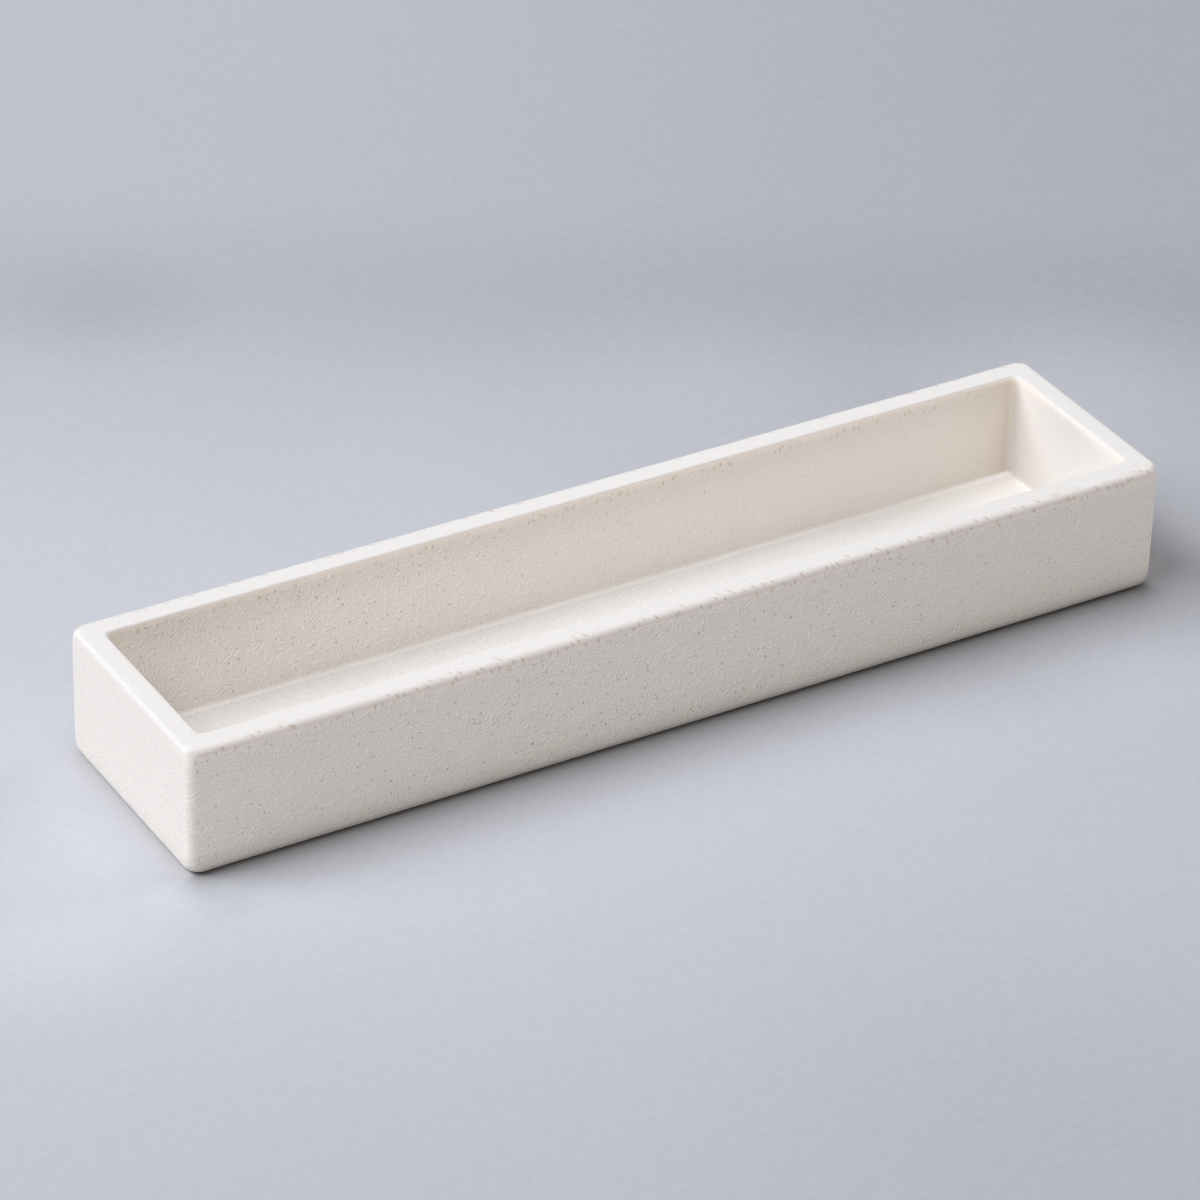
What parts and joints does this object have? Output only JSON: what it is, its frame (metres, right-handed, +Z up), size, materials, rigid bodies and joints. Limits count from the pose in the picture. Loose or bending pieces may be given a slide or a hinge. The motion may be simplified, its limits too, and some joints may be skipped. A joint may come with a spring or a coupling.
{
  "type": "magnesia ceramic boat",
  "caption": "Long shallow rectangular ceramic trough with thick straight walls and rounded edges, for heating a sample in a tube furnace.",
  "frame": {"origin": "centre of the flat base, on the surface that the boat stands on", "axes": "+X along the length, +Y across the width, +Z up out of the mouth"},
  "size_m": [0.1, 0.023, 0.0127],
  "materials": {
    "magnesia": "matt, unglazed, off-white with a faint warm mottle, fine raised grain and small dark pits"
  },
  "bodies": {
    "root": {"boat": "magnesia"}
  },
  "joints": []
}
